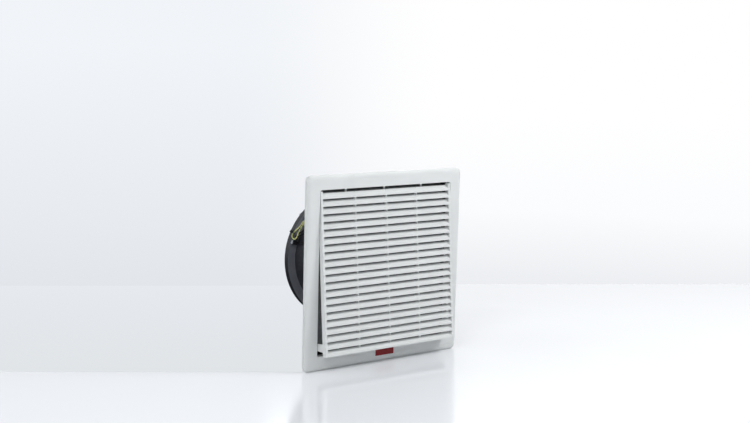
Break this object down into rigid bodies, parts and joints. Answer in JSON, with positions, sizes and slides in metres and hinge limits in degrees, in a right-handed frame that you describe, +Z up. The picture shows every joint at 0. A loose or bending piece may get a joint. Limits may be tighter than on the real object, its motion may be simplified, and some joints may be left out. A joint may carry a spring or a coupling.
{
  "type": "filter fan",
  "caption": "Filter fan for an enclosure wall: a square frame with a hinged louvre cover over a filter mat, and a round axial fan on a cowl behind it.",
  "frame": {"origin": "centre of the front frame on its seat, the plane that lies on the enclosure wall", "axes": "+X to the right seen from the front, +Y into the enclosure along the fan's axis, +Z up"},
  "size_m": [0.252, 0.1376, 0.252],
  "materials": {
    "grey_plastic": "light grey moulded plastic with a fine satin grain",
    "red_badge": "deep red, smooth",
    "gasket_foam": "closed-cell foam",
    "filter_fleece": "grey synthetic fleece",
    "black_plastic": "black moulded plastic",
    "spring_steel": "bare spring steel",
    "zinc_steel": "zinc-plated steel",
    "black_metal": "black satin paint on die-cast and sheet metal",
    "bare_aluminium": "die-cast, bare",
    "bearing_steel": "ground and polished",
    "core_steel": "stacked electrical sheet",
    "copper_winding": "varnished copper wire",
    "guard_wire": "zinc-plated welded wire",
    "block_plastic": "light grey, smooth",
    "brass_screw": "plated brass",
    "bright_tab": "tin-plated",
    "black_insulation": "black insulation",
    "green_insulation": "yellow and green insulation"
  },
  "bodies": {
    "body": {"front_frame": "grey_plastic", "badge_plate": "red_badge", "panel_gasket": "gasket_foam", "filter_mat": "filter_fleece", "mat_grid": "black_plastic", "filter_tub": "black_plastic", "wall_clips": "spring_steel", "clip_screws": "zinc_steel", "fan_cowl": "black_plastic", "cowl_screws": "zinc_steel", "fan_housing": "black_metal", "fan_screws": "zinc_steel", "fan_nuts": "zinc_steel", "motor_base": "bare_aluminium", "motor_screws": "zinc_steel", "bearing_outer_rings": "bearing_steel", "bearing_balls": "bearing_steel", "stator_core": "core_steel", "stator_windings": "copper_winding", "finger_guard": "guard_wire", "guard_screws": "zinc_steel", "guard_nuts": "zinc_steel", "terminal_block": "block_plastic", "terminal_screws": "brass_screw", "lead_socket": "black_plastic", "lead_tabs": "bright_tab", "supply_leads": "black_insulation", "earth_wire": "green_insulation", "earth_lug": "bright_tab", "cable_tie": "black_plastic"},
    "cover": {"louvre_cover": "grey_plastic"},
    "rotor": {"motor_shaft": "bearing_steel", "shaft_clip": "spring_steel", "rotor_cup": "black_metal", "rotor_cage": "bare_aluminium", "fan_impeller": "black_metal", "bearing_inner_rings": "bearing_steel"}
  },
  "joints": [
    {"name": "cover_hinge", "type": "hinge", "parent": "body", "child": "cover", "pos_m": [0, -0.004, 0.1042], "axis": [-1, 0, 0], "range_deg": [-5.1, 85]},
    {"name": "impeller_spin", "type": "hinge", "parent": "body", "child": "rotor", "pos_m": [0, 0.0536, 0], "axis": [0, 1, 0], "continuous": true}
  ]
}
